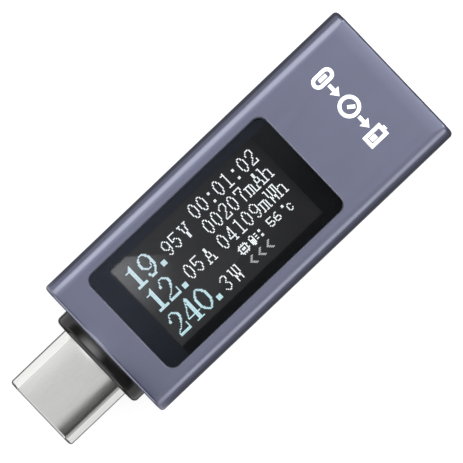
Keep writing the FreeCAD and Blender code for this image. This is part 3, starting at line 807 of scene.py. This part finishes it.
def card_material(name, radiance, soft, soft_ends):
    """Even white glow of a softbox, whose cloth thins out over its outer part."""
    material = bpy.data.materials.new(name)
    material.use_nodes = True
    tree = material.node_tree
    tree.nodes.remove(tree.nodes["Principled BSDF"])
    place = tree.nodes.new("ShaderNodeTexCoord").outputs["Generated"]
    split = tree.nodes.new("ShaderNodeSeparateXYZ")
    tree.links.new(place, split.inputs[0])
    share = 1.0
    for axis, part in (("X", soft), ("Y", soft_ends)):
        for start, end in ((0.0, part), (1.0, 1.0 - part)):
            edge = tree.nodes.new("ShaderNodeMapRange")
            edge.interpolation_type = "SMOOTHSTEP"
            tree.links.new(split.outputs[axis], edge.inputs["Value"])
            edge.inputs["From Min"].default_value = start
            edge.inputs["From Max"].default_value = end
            product = tree.nodes.new("ShaderNodeMath")
            product.operation = "MULTIPLY"
            tree.links.new(edge.outputs["Result"], product.inputs[0])
            if isinstance(share, float):
                product.inputs[1].default_value = share
            else:
                tree.links.new(share, product.inputs[1])
            share = product.outputs[0]
    light = tree.nodes.new("ShaderNodeEmission")
    light.inputs["Strength"].default_value = radiance
    cloth = tree.nodes.new("ShaderNodeMixShader")
    tree.links.new(share, cloth.inputs["Fac"])
    tree.links.new(tree.nodes.new("ShaderNodeBsdfTransparent").outputs[0], cloth.inputs[1])
    tree.links.new(light.outputs[0], cloth.inputs[2])
    tree.links.new(cloth.outputs[0], tree.nodes["Material Output"].inputs["Surface"])
    return material


def softbox(
    name, lean, azimuth, spread, length, radiance, soft=0.15,
    distance=card_distance, centre=(0, 0, 0), soft_ends=None,
):
    """A glowing card that faces the centre. It leans that many degrees from straight above towards
    azimuth, covers spread degrees that way, and is length metres across. It thins out over the soft
    part of its spread at either side, and over the same part of its length unless soft_ends says."""
    if soft_ends is None:
        soft_ends = soft
    half = distance * math.tan(math.radians(spread / 2))
    end = length / 2
    mesh = bpy.data.meshes.new(name)
    mesh.from_pydata([(-half, -end, 0), (half, -end, 0), (half, end, 0), (-half, end, 0)], [], [(0, 1, 2, 3)])
    mesh.materials.append(card_material(name, radiance, soft, soft_ends))
    card = bpy.data.objects.new(name, mesh)
    bpy.context.scene.collection.objects.link(card)
    turn = Matrix.Rotation(math.radians(azimuth), 4, "Z") @ Matrix.Rotation(math.radians(lean), 4, "Y")
    card.matrix_world = Matrix.Translation(centre) @ turn @ Matrix.Translation((0, 0, distance))
    card.visible_camera = False
    return card


def make_near_cards():
    """Small cards close to the plug, which only gloss mirrors: pale ones around its metal, a black one
    above its right edge, and two over the collar that shade its flat top and light its left edge.
    Photographers draw the lines along rounded metal so."""
    middle_x = (plug_low.x + front_x) / 2 - 2 * MM
    reach = 14 * MM
    plug_span = 9 * MM
    near = 12 * MM
    nearer = 5 * MM
    left = (middle_x, plug_high.y - 1 * MM, plug_high.z)
    right = (middle_x, plug_low.y + 1 * MM, plug_high.z)
    tip = (plug_low.x + 0.5 * MM, 0.0, plug_high.z)
    top = ((plug_low.x + collar_x) / 2, plug_high.y + 0.83 * MM, plug_high.z)
    collar = (collar_x, 0.0, collar_top)
    cards = [
        softbox(
            "bounce_left", lean=76.0, azimuth=to_left, spread=106.0, length=reach,
            radiance=1.5, soft=0.12, distance=near, centre=left,
        ),
        softbox(
            "bounce_top", lean=0.0, azimuth=to_left, spread=34.4, length=plug_span,
            radiance=1.22, soft=0.27, distance=near, centre=top, soft_ends=0.05,
        ),
        softbox(
            "bounce_right", lean=92.0, azimuth=to_right, spread=84.0, length=reach,
            radiance=1.25, soft=0.05, distance=near, centre=right,
        ),
        softbox(
            "bounce_right_high", lean=43.0, azimuth=to_right, spread=20.0, length=reach,
            radiance=0.65, soft=0.1, distance=near, centre=right,
        ),
        softbox(
            "bounce_tip", lean=78.0, azimuth=to_plug, spread=60.0, length=plug_span,
            radiance=0.7, soft=0.05, distance=nearer, centre=tip,
        ),
        softbox(
            "flag", lean=11.2, azimuth=to_right, spread=32.4, length=reach,
            radiance=0.09, soft=0.05, distance=near, centre=right,
        ),
        softbox(
            "collar_flag", lean=0.0, azimuth=to_left, spread=140.6, length=1.35 * MM,
            radiance=0.05, soft=0.27, distance=nearer, centre=collar, soft_ends=0.09,
        ),
        softbox(
            "collar_glow", lean=12.0, azimuth=to_left, spread=45.0, length=1.7 * MM,
            radiance=5.8, soft=0.45, distance=4.6 * MM, centre=collar,
        ),
    ]
    for card in cards:
        card.visible_diffuse = False
        card.visible_shadow = False


def glare_card(name, outline, below, fade_length, bright, dim, tint):
    """Card whose mirror image in the display lies over an outline of (x, y) places, measured from the
    front of the housing. It hangs below the softbox, and fades with the distance from its first corner."""
    height = card_distance - below
    scale = 1 + (height - panel_high.z) / (camera_height - panel_high.z)
    corners = []
    for along, across in outline:
        x = camera_x + (front_x + along - camera_x) * scale
        y = camera_y + (across - camera_y) * scale
        corners.append((x, y, height))
    mesh = bpy.data.meshes.new(name)
    mesh.from_pydata(corners, [], [tuple(range(len(corners)))])
    material = bpy.data.materials.new(name)
    material.use_nodes = True
    tree = material.node_tree
    tree.nodes.remove(tree.nodes["Principled BSDF"])
    away = tree.nodes.new("ShaderNodeVectorMath")
    away.operation = "DISTANCE"
    tree.links.new(tree.nodes.new("ShaderNodeTexCoord").outputs["Object"], away.inputs[0])
    away.inputs[1].default_value = corners[0]
    fade = tree.nodes.new("ShaderNodeMapRange")
    fade.interpolation_type = "SMOOTHSTEP"
    tree.links.new(away.outputs["Value"], fade.inputs["Value"])
    fade.inputs["From Max"].default_value = fade_length
    fade.inputs["To Min"].default_value = bright
    fade.inputs["To Max"].default_value = dim
    light = tree.nodes.new("ShaderNodeEmission")
    light.inputs["Color"].default_value = (*tint, 1.0)
    tree.links.new(fade.outputs["Result"], light.inputs["Strength"])
    tree.links.new(light.outputs[0], tree.nodes["Material Output"].inputs["Surface"])
    mesh.materials.append(material)
    card = bpy.data.objects.new(name, mesh)
    bpy.context.scene.collection.objects.link(card)
    card.visible_camera = False


def area(start, end, left, right):
    """Outline that runs from start to end along the housing, and from left to right across it."""
    return [(start, left), (end, left), (end, right), (start, right)]


def make_glare():
    """What the display mirrors: the dim hole that the camera looks through, and a pale reflection in
    its left corner, with a fainter and bluer one along the left and top of the border."""
    pale = (1.0, 0.975, 0.97)
    blue = (0.82, 0.93, 1.22)
    low_card = 12 * MM
    middle_card = 10 * MM
    high_card = 8 * MM
    hole = area(border_start, border_end, border_half, -border_half)
    top = area(border_start, border_end, border_half, lit_half)
    left = area(border_start, lit_start, lit_half, -border_half)
    right = [(border_end, lit_half), (border_end, -lit_half), (lit_end, -lit_half), (lit_end, lit_half)]
    lit = area(lit_start, lit_end, lit_half, -lit_half)
    corner = [(lit_start, lit_half), (7.5 * MM, lit_half), (16.2 * MM, -2.3 * MM), (lit_start, -lit_half)]
    glare_card("camera_hole", hole, high_card, fade_length=1.0, bright=0.09, dim=0.09, tint=pale)
    glare_card("glare_top", top, middle_card, fade_length=50 * MM, bright=0.72, dim=0.4, tint=blue)
    glare_card("glare_left", left, middle_card, fade_length=28 * MM, bright=0.72, dim=0.13, tint=blue)
    glare_card("glare_right", right, middle_card, fade_length=14 * MM, bright=0.32, dim=0.09, tint=pale)
    glare_card("glare_display", lit, middle_card, fade_length=36 * MM, bright=0.85, dim=0.32, tint=pale)
    glare_card("glare_corner", corner, low_card, fade_length=11.5 * MM, bright=4.2, dim=0.76, tint=pale)


def make_lights():
    """Overhead softbox and strip boxes around it, with the cards that gloss mirrors."""
    long_box = 0.6
    short_box = 0.3
    socket_box = 0.36  # distance of the boxes on the socket's side
    softbox("softbox_above", lean=-3.0, azimuth=to_left, spread=54.0, length=0.36, radiance=0.98, soft=0.02)
    softbox("softbox_left", lean=44.0, azimuth=to_left, spread=48.0, length=long_box, radiance=4.0, soft=0.3)
    softbox("softbox_left_low", lean=88.0, azimuth=to_left, spread=22.0, length=long_box, radiance=1.0)
    softbox(
        "softbox_right", lean=53.0, azimuth=to_right, spread=38.0, length=long_box,
        radiance=3.3, soft=0.35,
    )
    softbox("softbox_right_low", lean=92.0, azimuth=to_right, spread=20.0, length=long_box, radiance=0.4)
    softbox(
        "softbox_socket", lean=26.0, azimuth=to_socket, spread=26.0, length=short_box,
        radiance=2.8, soft=0.1, distance=socket_box,
    )
    softbox(
        "softbox_socket_low", lean=51.0, azimuth=to_socket, spread=38.0, length=short_box,
        radiance=8.5, soft=0.1, distance=socket_box,
    )
    softbox("softbox_plug", lean=38.0, azimuth=to_plug, spread=36.0, length=short_box, radiance=1.4)
    softbox("softbox_plug_low", lean=72.0, azimuth=to_plug, spread=30.0, length=short_box, radiance=3.6)
    make_glare()
    make_near_cards()


def make_world():
    """Dim, even room."""
    world = bpy.data.worlds.new("room")
    world.use_nodes = True
    background = world.node_tree.nodes["Background"]
    background.inputs["Color"].default_value = (0.95, 0.97, 1.0, 1.0)
    background.inputs["Strength"].default_value = room_glow
    bpy.context.scene.world = world


def make_camera():
    """Camera straight above, turned the way the object lies in the picture."""
    data = bpy.data.cameras.new("camera")
    data.sensor_width = sensor_mm
    data.lens = lens_mm
    data.clip_start = 0.01
    data.clip_end = 20.0
    camera = bpy.data.objects.new("camera", data)
    camera.location = (camera_x, camera_y, camera_height)
    camera.rotation_euler = (0.0, 0.0, -camera_roll)
    bpy.context.scene.collection.objects.link(camera)
    bpy.context.scene.camera = camera


make_camera()
paint_parts()
make_display()
make_marks()
make_floor()
make_world()
make_lights()
bpy.context.scene.view_settings.view_transform = "Standard"
